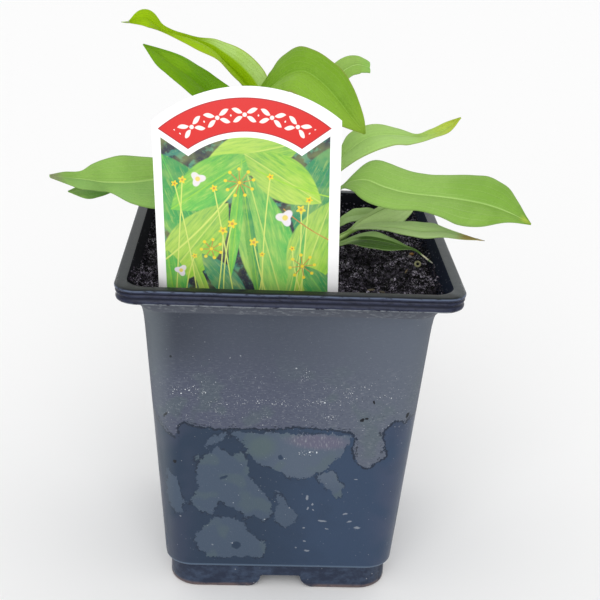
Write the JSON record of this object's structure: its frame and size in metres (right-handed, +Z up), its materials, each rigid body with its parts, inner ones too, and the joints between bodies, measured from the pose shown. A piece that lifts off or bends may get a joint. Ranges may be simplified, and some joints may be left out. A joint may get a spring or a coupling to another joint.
{
  "type": "potted water plantain",
  "caption": "Young water plantain with long-stalked lance-shaped leaves, growing in soil in a square plastic nursery pot with a picture label card.",
  "frame": {"origin": "on the ground under the middle of the square pot", "axes": "+Z up; -Y towards the front face of the pot, where the label card stands; +X to the right seen from the front"},
  "size_m": [0.1279, 0.0916, 0.1622],
  "materials": {
    "pot_plastic": "moulded dark blue-grey polypropylene, half glossy, with dried water marks on the sides",
    "soil": "dark moist peat compost with pale flecks",
    "crown": "pale fleshy sheathing leaf bases",
    "card": null,
    "leaf": "smooth bright green leaf with a pale midrib and fine parallel veins"
  },
  "bodies": {
    "root": {"pot": "pot_plastic", "soil": "soil", "crown": "crown", "label_card": "card", "leaf_upper_left": "leaf", "leaf_mid_left": "leaf", "leaf_left": "leaf", "leaf_left_lower": "leaf", "leaf_upper_right": "leaf", "leaf_back": "leaf", "leaf_right_back": "leaf", "leaf_right": "leaf", "leaf_right_inner": "leaf", "leaf_right_low": "leaf", "leaf_front_low": "leaf", "leaf_small_inner": "leaf"}
  },
  "joints": []
}
